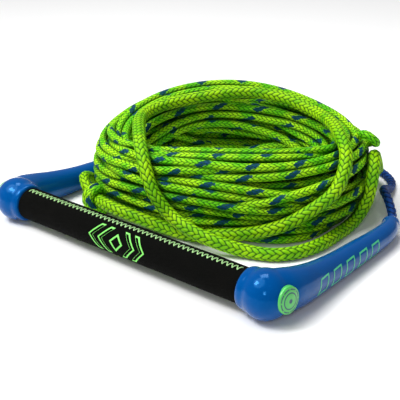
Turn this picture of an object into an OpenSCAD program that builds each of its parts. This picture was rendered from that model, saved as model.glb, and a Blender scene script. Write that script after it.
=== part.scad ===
// Tow rope handle: a padded bar between two moulded arms, with its bridle, neck and coiled tow line.
// The frame stands on the ground: X runs along the bar, the arms point to +Y, Z is up.

/* [Bar and grip] */
// Length of the padded grip between the two elbows
grip_length = 256; // [230:1:300]
// Diameter over the neoprene cover
grip_d = 30; // [28:0.5:34]
// Outer diameter of the aluminium tube
tube_d = 25; // [22:0.5:25]
// Wall of the aluminium tube
tube_wall = 1.5; // [1:0.1:2]

/* [Arms] */
// Radius of the round elbow at each end of the bar
elbow_r = 20.5; // [20:0.1:22]
// Distance from the bar's axis to the middle of an arm's tip
arm_reach = 190; // [185:1:200]
// Distance from the middle of the bar to the line of an arm
arm_x = 155.5; // [154:0.5:160]
// Radius of an arm's rounded tip
tip_r = 8.5; // [8:0.1:9.5]
// Height of an arm's tip above the ground
tip_z = 12; // [11:0.5:14]

/* [Ropes] */
// Diameter of the bridle rope
bridle_d = 8; // [6:0.5:8]
// Diameter of the neck, where the rope is doubled inside its own braid
neck_d = 12; // [10:0.5:13]
// Diameter of the tow line
line_d = 8; // [7:0.5:9]

/* [Coil] */
// Half of the coil's long way across
coil_long = 136; // [130:1:137]
// Half of the coil's short way across
coil_short = 99; // [92:1:100]
// Width of the coil's wall of rope
coil_wall = 48; // [40:1:52]
// Height of the coil at its two ends
coil_end_h = 78; // [70:1:80]
// Height of the coil at the side away from the bar
coil_back_h = 104; // [96:1:106]
// Height of the coil at the side next to the bar
coil_front_h = 82; // [76:1:84]
// How far the coil's front right side bulges
coil_bulge = 16; // [0:1:18]

/* [Hidden] */

// The handle's box is centred on the origin: the bar lies in front of it and the tips behind it.
bar_y = -(arm_reach + tip_r - elbow_r) / 2;
tip_y = bar_y + arm_reach;
bar_z = elbow_r;

sleeve_d = grip_d - 2;
grip_end = grip_length / 2;
elbow_x = grip_end + 18;
tube_half = grip_end + 8;
plug_flange = 3;
plug_depth = 18;
guide_start = tube_half + plug_flange + 0.5;
guide_bend = arm_x - guide_start;
guide_d = 12;
channel_r = 4.6;

stitch_pitch = 5;
stitch_count = floor((grip_length - 8) / stitch_pitch);
stitch_d = 0.9;
stitch_lean = 32;

print_angle = 13;
print_film = 0.25;
print_h = 22;
badge_r = 11;
mark_count = 5;
mark_pitch = 21.5;
mark_length = 18;
mark_h = 13;
mark_line = 1.4;

round_sides = 10;
arm_sides = 24;
coil_turn = 39;
coil_mid = [-19, 77];
bulge_turn = -50;

// Sections of an arm behind the elbow: distance behind the bar, x, z, half width, half height.
arm_sections = [
    [0, elbow_x, bar_z, 19, 19.5],
    [12, 151, 20, 17.5, 19],
    [28, arm_x - 1, 18, 15, 17.5],
    [50, arm_x, 15.5, 13, 15.2],
    [80, arm_x, 13.2, 11.8, 13],
    [120, arm_x, 12, 10.8, 11.5],
    [150, arm_x, 11.4, 9.8, 10.4],
    [170, arm_x - 0.5, 11.5, 9.2, 9.6],
    [arm_reach - 8, arm_x - 2.5, 11.8, 8.8, 8.9],
    [arm_reach, 150, tip_z, 8.4, tip_r - 0.05]
];

// The bridle's legs run from the tips, round the back of the coil, into the splice.
leg_left_points = [
    [-146, tip_y + 10.2, tip_z], [-139, 122, 9], [-127, 136, 4.2], [-108, 151, 4.2], [-84, 167, 4.2],
    [-56, 183, 4.2], [-30, 196, 4.2], [-8, 206, 5], [12, 211, 6.5], [30, 212, 8]
];
leg_right_points = [
    [146, tip_y + 10.2, tip_z], [139, 123, 14], [127, 137, 19], [114, 152, 20], [107, 170, 14],
    [101, 192, 6], [90, 214, 4.2], [68, 232, 4.2], [38, 239.5, 4.2], [4, 239.5, 4.2],
    [-12, 235, 5], [-20, 226, 8], [-14, 217, 12], [4, 213, 14], [30, 212, 14]
];

// The neck leaves the splice, drops down the right end of the coil, crosses the ground in front
// of it, climbs its left side, runs round its top and comes down again to the hitch.
neck_points = [
    [66, 212, 9], [76, 206, 16], [84, 192, 26], [92, 172, 42], [102, 149, 54],
    [111, 134, 59], [117, 122, 52], [121, 112, 39], [121, 105, 25], [118, 95, 12],
    [116.5, 83, 7], [116.5, 68, 6], [116, 34, 6], [108.5, 8.5, 6], [95, -8, 6], [74, -18.5, 7],
    [50, -31, 13], [25, -36, 19], [2, -36, 27], [-14, -40, 45], [-26, -37, 64],
    [-39, -28.5, 77], [-61, -8, 83.5], [-84, 17, 85], [-97, 41, 85], [-92.5, 68, 88],
    [-69, 102, 93], [-36.5, 132, 96.5], [-1, 146, 92.5], [34, 146, 86], [66, 126, 86],
    [90, 103, 84], [107, 86, 76], [114, 72, 63], [114, 57, 48], [103, 35, 34],
    [85, 17, 21], [62, 2, 13], [39, -12, 9.5], [19, -22, 6.5], [-7, -30, 9], [-31, -38, 14],
    [-58, -42, 17], [-84, -37, 16], [-108, -26, 12.5]
];
eye_points = [
    [-108, -26, 12.5], [-119, -26, 21], [-130, -18, 25], [-136, -6, 21], [-135, 4, 12],
    [-127, 4, 6], [-118, -8, 6], [-109, -22, 8]
];
hitch_points = [
    [-98, 6, 14], [-92, -8, 12], [-86, -25.7, 10.8], [-89.5, -30.7, 5.2], [-93.9, -37.5, 5.4],
    [-97.2, -41.9, 11.2], [-98.1, -41.1, 19.1], [-96.7, -35.3, 24.4], [-94.4, -27.5, 23.9],
    [-93.2, -22.1, 17.8], [-94.3, -21.9, 9.7], [-97.8, -26.8, 4.2], [-102.2, -33.6, 4.3],
    [-105.5, -38.1, 10.1], [-106.4, -37.3, 18], [-105, -31.4, 23.3], [-102.7, -23.6, 22.8],
    [-101.5, -18.2, 16.7], [-102.6, -18, 8.6], [-104, -11, 6]
];
loop_points = [
    [88, 138, 72], [96, 133, 79], [104, 129, 81], [110, 131, 77], [109, 138, 72],
    [101, 145, 69], [90, 146, 64]
];

// ---- Shared geometry ----

function unit(v) = v / norm(v);

// Direction of a route at its point i.
function heading(p, i) = unit(p[min(i + 1, len(p) - 1)] - p[max(i - 1, 0)]);

// Side vectors carried along a route without twist.
function carried(p, n) = [
    for (i = 0, s = n;
         i < len(p);
         i = i + 1, s = i < len(p) ? unit(s - (s * heading(p, i)) * heading(p, i)) : s)
        s
];
function first_side(p) = unit(cross(heading(p, 0), [0.13, 0.21, 0.97]));

// A smooth run of points through a list of sections of any width.
function blend_rows(a, b, c, d, t) =
    0.5 * (2 * b + (c - a) * t + (2 * a - 5 * b + 4 * c - d) * t * t
        + (3 * b - a - 3 * c + d) * t * t * t);
function row(p, i) = p[max(0, min(len(p) - 1, i))];
function smooth_rows(p, steps) = [
    for (i = [0 : len(p) - 2])
        for (k = [0 : steps - 1])
            blend_rows(row(p, i - 1), row(p, i), row(p, i + 1), row(p, i + 2), k / steps),
    p[len(p) - 1]
];

// A solid skin over rings of points, closed by flat ends or onto itself.
module skin(rings, closed = false) {
    sides = len(rings[0]);
    count = len(rings);
    last = closed ? count - 1 : count - 2;
    walls = [
        for (i = [0 : last])
            for (k = [0 : sides - 1])
                let (
                    here = i * sides,
                    next = ((i + 1) % count) * sides,
                    turn = (k + 1) % sides
                )
                    each [
                        [here + k, here + turn, next + turn],
                        [here + k, next + turn, next + k]
                    ]
    ];
    ends = closed ? [] : [
        [for (k = [sides - 1 : -1 : 0]) k],
        [for (k = [0 : sides - 1]) (count - 1) * sides + k]
    ];
    polyhedron(points = [for (r = rings) each r], faces = concat(walls, ends), convexity = 6);
}

// A round tube along a route.
module tube(p, r, sides = round_sides) {
    side = carried(p, first_side(p));
    skin([
        for (i = [0 : len(p) - 1])
            [
                for (k = [0 : sides - 1])
                    let (up = cross(side[i], heading(p, i)), a = 360 * k / sides)
                        p[i] + r * (cos(a) * side[i] + sin(a) * up)
            ]
    ]);
}

module along_bar(x) {
    translate([x, bar_y, bar_z]) rotate([0, 90, 0]) children();
}

module both_ways(side) {
    mirror([side < 0 ? 1 : 0, 0, 0]) children();
}

// ---- Bar and grip ----

module bar_tube() {
    color("silver")
        along_bar(-tube_half)
            difference() {
                cylinder(d = tube_d, h = 2 * tube_half, $fn = 96);
                translate([0, 0, -1])
                    cylinder(d = tube_d - 2 * tube_wall, h = 2 * tube_half + 2, $fn = 96);
            }
}

module grip_layer(outer_d, inner_d) {
    along_bar(-grip_end)
        difference() {
            cylinder(d = outer_d, h = grip_length, $fn = 96);
            translate([0, 0, -1]) cylinder(d = inner_d, h = grip_length + 2, $fn = 96);
        }
}

module grip_sleeve() {
    color("dimgray") grip_layer(sleeve_d, tube_d);
}

module grip_cover() {
    color([0.09, 0.09, 0.1]) grip_layer(grip_d, sleeve_d);
}

// Slanting stitches that close the cover along the top of the grip.
module grip_stitching() {
    color("palegreen")
        for (i = [0 : stitch_count - 1])
            translate([(i - (stitch_count - 1) / 2) * stitch_pitch, bar_y, bar_z + grip_d / 2 - 0.1])
                rotate([90, 0, (i % 2 == 0) ? stitch_lean : -stitch_lean])
                    cylinder(d = stitch_d, h = 6, center = true, $fn = 16);
}

// One arm of an outlined arrowhead, lying flat.
module arrowhead(size, line) {
    difference() {
        polygon([[0, 0], [size, size], [size + 5, size], [5, 0], [size + 5, -size], [size, -size]]);
        translate([line * 1.6, 0])
            polygon([
                [0, 0], [size - line, size - line], [size + 3 - line, size - line],
                [3, 0], [size + 3 - line, line - size], [size - line, line - size]
            ]);
    }
}

module grip_pattern() {
    difference() {
        rotate(45) square(11, center = true);
        rotate(45) square(8, center = true);
    }
    for (side = [-1, 1])
        for (k = [0 : 1])
            mirror([side < 0 ? 0 : 1, 0, 0])
                translate([-22 - 11 * k, 0]) arrowhead(print_h / 2, 1.1);
}

// A thin film printed on the front of the grip.
module grip_print() {
    color("limegreen")
        translate([0, bar_y, bar_z])
            intersection() {
                rotate([0, 90, 0])
                    difference() {
                        cylinder(d = grip_d + 2 * print_film, h = 90, center = true, $fn = 96);
                        cylinder(d = grip_d, h = 92, center = true, $fn = 96);
                    }
                rotate([90 - print_angle, 0, 0]) linear_extrude(height = grip_d) grip_pattern();
            }
}

// ---- Plugs, guides and arms ----

module end_plug(side) {
    both_ways(side)
        color("white")
            along_bar(tube_half - plug_depth)
                difference() {
                    union() {
                        cylinder(d = tube_d - 2 * tube_wall, h = plug_depth, $fn = 64);
                        translate([0, 0, plug_depth]) cylinder(d = tube_d, h = plug_flange, $fn = 64);
                    }
                    translate([0, 0, -1])
                        cylinder(d = 9, h = plug_depth + plug_flange + 2, $fn = 48);
                }
}

// A bent liner that turns the rope from the bar into the arm.
module rope_guide(side) {
    both_ways(side)
        color("ivory")
            translate([guide_start, bar_y + guide_bend, bar_z])
                rotate([0, 0, -90])
                    rotate_extrude(angle = 90, $fn = 96)
                        translate([guide_bend, 0])
                            difference() {
                                circle(d = guide_d, $fn = 48);
                                circle(d = 9, $fn = 48);
                            }
}

function arm_ring(s) = [
    for (k = [0 : arm_sides - 1])
        let (a = 360 * k / arm_sides)
            [s[1] + s[3] * cos(a), bar_y + s[0], s[2] + s[4] * sin(a)]
];

// The rope's way through an arm, from the guide to the tip.
channel_points = [
    [arm_x, bar_y + guide_bend - 0.5, bar_z], [arm_x, bar_y + 34, 18.5],
    [arm_x, bar_y + 60, 14.8], [arm_x, bar_y + 100, 12.6], [arm_x, bar_y + 150, 11.5],
    [arm_x - 1.5, bar_y + 174, 11.7], [150.4, tip_y, tip_z], [146.2, tip_y + 9, tip_z]
];

// The pocket that holds the guide, a little longer than the guide at both ends.
function guide_pocket() = concat(
    [[guide_start - 2, bar_y, bar_z]],
    [
        for (a = [7.5 : 15 : 82.5])
            [guide_start + guide_bend * sin(a), bar_y + guide_bend - guide_bend * cos(a), bar_z]
    ],
    [[arm_x, bar_y + guide_bend + 1, bar_z]]
);

module arm(side) {
    both_ways(side)
        color([0.02, 0.3, 0.65])
            difference() {
                union() {
                    along_bar(grip_end) cylinder(r = 18.2, h = elbow_x - grip_end, $fn = 64);
                    translate([elbow_x, bar_y, bar_z]) sphere(r = elbow_r, $fn = 64);
                    skin([for (s = smooth_rows(arm_sections, 3)) arm_ring(s)]);
                    translate([150, tip_y, tip_z]) sphere(r = tip_r, $fn = 40);
                }
                along_bar(elbow_x - elbow_r - 1)
                    cylinder(d = tube_d, h = guide_start - 0.5 - elbow_x + elbow_r + 1, $fn = 64);
                tube(guide_pocket(), guide_d / 2 + 0.2, 20);
                tube(channel_points, channel_r, 12);
            }
}

// A round badge let into the outside of the elbow.
module arm_badge(side) {
    both_ways(side)
        color("lightgreen")
            translate([elbow_x + elbow_r - 1.4, bar_y + 1, 22])
                rotate([0, 0, -8])
                    rotate([0, 90, 0])
                        difference() {
                            cylinder(r = badge_r, h = 2, $fn = 64);
                            translate([0, 0, 1.4])
                                difference() {
                                    cylinder(r = badge_r - 1.5, h = 1, $fn = 64);
                                    cylinder(r = badge_r - 3, h = 1, $fn = 64);
                                }
                        }
}

// A row of slanting outlined marks along the outside of the arm.
module arm_marks(side) {
    both_ways(side)
        color("mediumseagreen")
            translate([arm_x + 12.1, bar_y + 39, 16])
                rotate([0, 0, 1.9])
                    rotate([90, 0, 90])
                        linear_extrude(height = 1.4)
                            for (k = [0 : mark_count - 1])
                                translate([k * mark_pitch, -k])
                                    difference() {
                                        polygon([
                                            [0, -mark_h / 2], [mark_length - 4, -mark_h / 2],
                                            [mark_length, mark_h / 2], [4, mark_h / 2]
                                        ]);
                                        polygon([
                                            [2, mark_line - mark_h / 2],
                                            [mark_length - 5, mark_line - mark_h / 2],
                                            [mark_length - 2, mark_h / 2 - mark_line],
                                            [5, mark_h / 2 - mark_line]
                                        ]);
                                    }
}

// ---- Ropes ----

function core_turn() = [
    for (a = [0 : 15 : 90])
        [guide_start + guide_bend * sin(a), bar_y + guide_bend - guide_bend * cos(a), bar_z]
];
function core_half() = concat(core_turn(), [for (i = [1 : len(channel_points) - 2]) channel_points[i]]);

// The bridle rope where it is hidden: from one tip, through the arm and the bar, to the other tip.
module bridle_core() {
    half = core_half();
    other = [for (i = [len(half) - 1 : -1 : 0]) [-half[i][0], half[i][1], half[i][2]]];
    color("navy") tube(concat(other, half), bridle_d / 2 - 0.05);
}

module bridle_leg(p) {
    color("navy") tube(p, bridle_d / 2, 8);
}

// The sleeve of braid where both legs are tucked into the neck.
module bridle_splice() {
    color("green")
        translate([30, 212, 11])
            rotate([0, 90, 0])
                union() {
                    cylinder(r1 = 8, r2 = 9, h = 6, $fn = 32);
                    translate([0, 0, 6]) cylinder(r1 = 9, r2 = neck_d / 2, h = 30, $fn = 32);
                }
}

module neck_rope() {
    color("yellowgreen") tube(neck_points, neck_d / 2, 8);
}

module neck_eye() {
    color("yellowgreen") tube(eye_points, line_d / 2 + 0.5, 8);
}

module line_hitch() {
    color("greenyellow") tube(hitch_points, line_d / 2, 8);
}

module tow_loop() {
    color("greenyellow") tube(loop_points, line_d / 2, 8);
}

// Height of the coil, a turn measured from its right end.
function coil_height(a) =
    coil_end_h
    + ((coil_back_h + coil_front_h) / 2 - coil_end_h) * pow(sin(a), 2)
    + (coil_back_h - coil_front_h) / 2 * sin(a);

function coil_ring(a) =
    let (
        long = coil_long - coil_wall / 2,
        short = coil_short - coil_wall / 2,
        out = unit([cos(a) / long, sin(a) / short]),
        bulge = coil_bulge * pow(max(0, cos(a - bulge_turn)), 2) / 2,
        h = coil_height(a) / 2
    )
    [
        for (k = [0 : 11])
            let (
                b = 30 * k,
                reach = bulge + (coil_wall / 2 + bulge) * cos(b),
                u = long * cos(a) + out[0] * reach,
                v = short * sin(a) + out[1] * reach
            )
                [
                    coil_mid[0] + u * cos(coil_turn) - v * sin(coil_turn),
                    coil_mid[1] + u * sin(coil_turn) + v * cos(coil_turn),
                    h + h * sin(b)
                ]
    ];

module line_coil() {
    color("limegreen") skin([for (i = [0 : 35]) coil_ring(i * 10)], closed = true);
}

bar_tube();
grip_sleeve();
grip_cover();
grip_stitching();
grip_print();
end_plug(-1);  // end_plug_left
end_plug(1);  // end_plug_right
rope_guide(-1);  // rope_guide_left
rope_guide(1);  // rope_guide_right
arm(-1);  // arm_left
arm(1);  // arm_right
arm_badge(-1);  // arm_badge_left
arm_badge(1);  // arm_badge_right
arm_marks(-1);  // arm_marks_left
arm_marks(1);  // arm_marks_right
bridle_core();
bridle_leg(leg_left_points);  // bridle_leg_left
bridle_leg(leg_right_points);  // bridle_leg_right
bridle_splice();
neck_rope();
neck_eye();
line_hitch();
line_coil();
tow_loop();
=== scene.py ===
import math
import bmesh
import bpy
import numpy as np
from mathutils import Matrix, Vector
from mathutils.bvhtree import BVHTree
from mathutils.kdtree import KDTree


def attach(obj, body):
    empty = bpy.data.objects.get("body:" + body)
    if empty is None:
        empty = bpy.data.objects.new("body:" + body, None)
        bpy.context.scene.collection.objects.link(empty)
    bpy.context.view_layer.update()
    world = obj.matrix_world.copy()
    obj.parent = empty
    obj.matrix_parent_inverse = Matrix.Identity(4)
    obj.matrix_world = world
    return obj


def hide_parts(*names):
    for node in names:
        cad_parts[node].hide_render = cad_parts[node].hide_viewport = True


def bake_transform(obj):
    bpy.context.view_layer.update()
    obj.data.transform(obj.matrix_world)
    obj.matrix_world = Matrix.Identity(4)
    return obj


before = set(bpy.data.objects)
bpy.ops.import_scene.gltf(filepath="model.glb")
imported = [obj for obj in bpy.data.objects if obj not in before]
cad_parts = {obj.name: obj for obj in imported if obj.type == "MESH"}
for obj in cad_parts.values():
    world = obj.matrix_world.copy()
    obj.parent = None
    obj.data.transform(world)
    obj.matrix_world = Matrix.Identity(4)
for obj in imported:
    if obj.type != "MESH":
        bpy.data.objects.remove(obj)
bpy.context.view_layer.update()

# ---------------------------------------------------------------------------
# The studio. A pale floor runs out of view on all sides, large soft lights
# hang over it, and the camera looks down over the grip's right end.
# ---------------------------------------------------------------------------
scene = bpy.context.scene
scene.view_settings.view_transform = "Standard"

view_turn = math.radians(39.37)
view_drop = math.radians(23.23)
camera_data = bpy.data.cameras.new("studio_camera")
camera_data.lens = 78.1
camera_data.shift_x = -0.0218
camera_data.clip_start = 0.02
camera = bpy.data.objects.new("studio_camera", camera_data)
camera.location = (0.4796, -0.564, 0.3469)
camera.rotation_euler = (math.pi / 2 - view_drop, 0, view_turn)
scene.collection.objects.link(camera)
scene.camera = camera


def shade(red, green, blue):
    """A colour as light, from steps of 0 to 255."""
    parts = [step / 255 for step in (red, green, blue)]
    return [c / 12.92 if c <= 0.04045 else ((c + 0.055) / 1.055) ** 2.4 for c in parts] + [1.0]


class Finish:
    """A material whose look is worked out from the piece's own surface."""

    def __init__(self, name, **sockets):
        self.material = bpy.data.materials.new(name)
        self.material.use_nodes = True
        self.nodes = self.material.node_tree.nodes
        self.shader = self.nodes["Principled BSDF"]
        for socket, value in sockets.items():
            self.shader.inputs[socket.replace("_", " ")].default_value = value

    def plug(self, value, socket):
        if isinstance(value, bpy.types.NodeSocket):
            self.material.node_tree.links.new(value, socket)
        else:
            socket.default_value = value

    def math(self, operation, *values):
        node = self.nodes.new("ShaderNodeMath")
        node.operation = operation
        for value, socket in zip(values, node.inputs):
            self.plug(value, socket)
        return node.outputs[0]

    def place(self, stretch=(1, 1, 1)):
        """Points of the piece itself, in metres, stretched to squeeze a pattern."""
        spot = self.nodes.new("ShaderNodeTexCoord")
        mapping = self.nodes.new("ShaderNodeMapping")
        mapping.inputs["Scale"].default_value = stretch
        self.plug(spot.outputs["Object"], mapping.inputs["Vector"])
        return mapping.outputs[0]

    def noise(self, scale, detail=2.0, stretch=(1, 1, 1), where=None):
        node = self.nodes.new("ShaderNodeTexNoise")
        node.inputs["Scale"].default_value = scale
        node.inputs["Detail"].default_value = detail
        self.plug(where or self.place(stretch), node.inputs["Vector"])
        return node.outputs[0]

    def steps(self, value, low, high):
        """0 below low, 1 above high, and a soft step between."""
        node = self.nodes.new("ShaderNodeMapRange")
        node.interpolation_type = "SMOOTHSTEP"
        for socket, number in (("Value", value), ("From Min", low), ("From Max", high)):
            self.plug(number, node.inputs[socket])
        return node.outputs[0]

    def mix(self, share, first, second):
        node = self.nodes.new("ShaderNodeMix")
        node.data_type = "RGBA"
        self.plug(share, node.inputs[0])
        self.plug(first, node.inputs[6])
        self.plug(second, node.inputs[7])
        return node.outputs[2]

    def done(self, colour=None, roughness=None, height=None, depth=0.0002):
        if colour is not None:
            self.plug(colour, self.shader.inputs["Base Color"])
        if roughness is not None:
            self.plug(roughness, self.shader.inputs["Roughness"])
        if height is not None:
            bump = self.nodes.new("ShaderNodeBump")
            bump.inputs["Distance"].default_value = depth
            self.plug(height, bump.inputs["Height"])
            self.plug(bump.outputs[0], self.shader.inputs["Normal"])
        return self.material


def floor_finish():
    finish = Finish("studio_floor", Roughness=0.9)
    cloud = finish.noise(1.5)
    return finish.done(finish.mix(cloud, shade(247, 247, 247), shade(252, 252, 252)))


def add_piece(name, points, faces, material, smooth=True):
    mesh = bpy.data.meshes.new(name)
    mesh.from_pydata(np.asarray(points).tolist(), [], [list(map(int, f)) for f in faces])
    mesh.materials.append(material)
    mesh.polygons.foreach_set("use_smooth", [smooth] * len(mesh.polygons))
    mesh.update()
    piece = bpy.data.objects.new(name, mesh)
    scene.collection.objects.link(piece)
    return piece


floor_half = 6.0
floor = add_piece(
    "studio_floor",
    [(-floor_half, -floor_half, 0), (floor_half, -floor_half, 0),
     (floor_half, floor_half, 0), (-floor_half, floor_half, 0)],
    [(0, 1, 2, 3)], floor_finish())

world = bpy.data.worlds.new("studio_air")
world.use_nodes = True
world.node_tree.nodes["Background"].inputs[0].default_value = (1, 1, 1, 1)
world.node_tree.nodes["Background"].inputs[1].default_value = 0.25
scene.world = world

# Name, place, what it looks at, width and height in metres, watts.
soft_lights = (
    ("light_overhead", (-0.25, 0.25, 1.25), (0, 0.02, 0), 0.6, 0.5, 7.0),
    ("light_front", (0.75, -1.15, 0.75), (0, 0, 0.05), 0.22, 0.3, 3.0),
    ("light_side", (-0.4, -0.6, 1.0), (0, -0.05, 0.03), 0.3, 0.3, 7.0),
)
sky = bpy.data.lights.new("light_even", "SUN")
sky.energy, sky.angle = 1.65, math.radians(45)
sky_object = bpy.data.objects.new("light_even", sky)
sky_object.rotation_euler = (math.radians(22), math.radians(-18), 0)
scene.collection.objects.link(sky_object)
for name, spot, aim, width, height, watts in soft_lights:
    lamp = bpy.data.lights.new(name, "AREA")
    lamp.shape = "RECTANGLE"
    lamp.size, lamp.size_y = width, height
    lamp.energy = watts
    lamp_object = bpy.data.objects.new(name, lamp)
    lamp_object.location = spot
    lamp_object.rotation_euler = (Vector(aim) - Vector(spot)).to_track_quat("-Z", "Y").to_euler()
    scene.collection.objects.link(lamp_object)

# ---------------------------------------------------------------------------
# The tow line. Nearly 23 metres of lime polypropylene braid with one blue
# tracer, thrown into a loose oval coil of about 36 turns. It starts in the
# hitch round the neck's end, and ends in its own tow loop.
# ---------------------------------------------------------------------------
line_diameter, neck_diameter = 0.008, 0.012
line_turns = 36.45
skin_beds, deep_beds = 26, 9
points_per_turn = 72
coil_mid = np.array([-0.019, 0.077])
coil_turn = math.radians(39)
coil_long, coil_short, coil_wall = 0.136, 0.099, 0.048
coil_end_height, coil_back_height, coil_front_height = 0.078, 0.104, 0.082
coil_bulge, bulge_turn = 0.016, math.radians(-50)
foot_reach, foot_turn, foot_spread = 0.025, math.radians(-67), 2.2
line_start = np.array([-0.098, 0.006, 0.014])
line_end = np.array([0.088, 0.138, 0.072])


# The neck's route, which the line's turns keep clear of.
neck_points = np.array([
    [66, 212, 9], [76, 206, 16], [84, 192, 26], [92, 172, 42], [102, 149, 54],
    [111, 134, 59], [117, 122, 52], [121, 112, 39], [121, 105, 25], [118, 95, 12],
    [116.5, 83, 7], [116.5, 68, 6], [116, 34, 6], [108.5, 8.5, 6], [95, -8, 6], [74, -18.5, 7],
    [50, -31, 13], [25, -36, 19], [2, -36, 27], [-14, -40, 45], [-26, -37, 64],
    [-39, -28.5, 77], [-61, -8, 83.5], [-84, 17, 85], [-97, 41, 85], [-92.5, 68, 88],
    [-69, 102, 93], [-36.5, 132, 96.5], [-1, 146, 92.5], [34, 146, 86], [66, 126, 86],
    [90, 103, 84], [107, 86, 76], [114, 72, 63], [114, 57, 48], [103, 35, 34],
    [85, 17, 21], [62, 2, 13], [39, -12, 9.5], [19, -22, 6.5], [-7, -30, 9], [-31, -38, 14],
    [-58, -42, 17], [-84, -37, 16], [-108, -26, 12.5]]) / 1000


def coil_height(turn):
    middle = (coil_back_height + coil_front_height) / 2
    lean = (coil_back_height - coil_front_height) / 2
    return coil_end_height + (middle - coil_end_height) * np.sin(turn) ** 2 + lean * np.sin(turn)


def coil_section(turn):
    """The wall's middle, its outward direction, and half its width and height."""
    a, b = coil_long - coil_wall / 2, coil_short - coil_wall / 2
    out = np.stack([np.cos(turn) / a, np.sin(turn) / b], 1)
    out /= np.linalg.norm(out, axis=1)[:, None]
    bulge = coil_bulge / 2 * np.maximum(0, np.cos(turn - bulge_turn)) ** 2
    middle = np.stack([a * np.cos(turn), b * np.sin(turn)], 1) + out * bulge[:, None]
    half_wide = coil_wall / 2 + bulge - line_diameter / 2
    half_high = coil_height(turn) / 2 - line_diameter / 2
    return middle, out, half_wide, half_high


def foot(turn, up_share):
    """How far the lowest turns have slid outwards on the ground, at the front right."""
    off_foot = (turn - foot_turn + math.pi) % (2 * math.pi) - math.pi
    near = np.cos(np.clip(foot_spread * off_foot, -math.pi / 2, math.pi / 2)) ** 2
    return foot_reach * near * np.clip((1 - up_share) / 2, 0, 1) ** 2.5


long_way = np.array([math.cos(coil_turn), math.sin(coil_turn)])
short_way = np.array([-math.sin(coil_turn), math.cos(coil_turn)])


def in_coil(turn, out_share, up_share):
    middle, out, half_wide, half_high = coil_section(turn)
    flat = middle + out * (out_share * half_wide + foot(turn, up_share))[:, None]
    place = coil_mid + flat[:, :1] * long_way + flat[:, 1:] * short_way
    return np.c_[place, half_high + line_diameter / 2 + up_share * half_high]


def keep_in_coil(points):
    """Draws points that have left the coil's own section back towards it."""
    flat = points[:, :2] - coil_mid
    flat = np.stack([flat @ long_way, flat @ short_way], 1)
    a, b = coil_long - coil_wall / 2, coil_short - coil_wall / 2
    turn = np.arctan2(flat[:, 1] / b, flat[:, 0] / a)
    for _ in range(3):
        along = np.stack([-a * np.sin(turn), b * np.cos(turn)], 1)
        miss = flat - np.stack([a * np.cos(turn), b * np.sin(turn)], 1)
        turn = turn + np.sum(miss * along, 1) / np.sum(along * along, 1)
    middle, out, half_wide, half_high = coil_section(turn)
    up_share = (points[:, 2] - half_high - line_diameter / 2) / half_high
    out_share = (np.sum((flat - middle) * out, 1) - foot(turn, up_share)) / half_wide
    reach = np.hypot(out_share, up_share)
    back = in_coil(turn, out_share / np.maximum(reach, 1), up_share / np.maximum(reach, 1))
    points = np.where((reach > 1)[:, None], (points + back) / 2, points)
    points[:, 2] = np.maximum(points[:, 2], line_diameter / 2)
    return points


def keep_off_neck(points, neck):
    """Pushes points of the line out of the neck's own space."""
    room = (line_diameter + neck_diameter) / 2
    gap = points[:, None] - neck[None]
    far = np.sqrt((gap ** 2).sum(2))
    nearest = far.argmin(1)
    rows = np.arange(len(points))
    far = far[rows, nearest][:, None] + 1e-6
    return points + gap[rows, nearest] / far * np.maximum(room - far, 0) * 0.6


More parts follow.
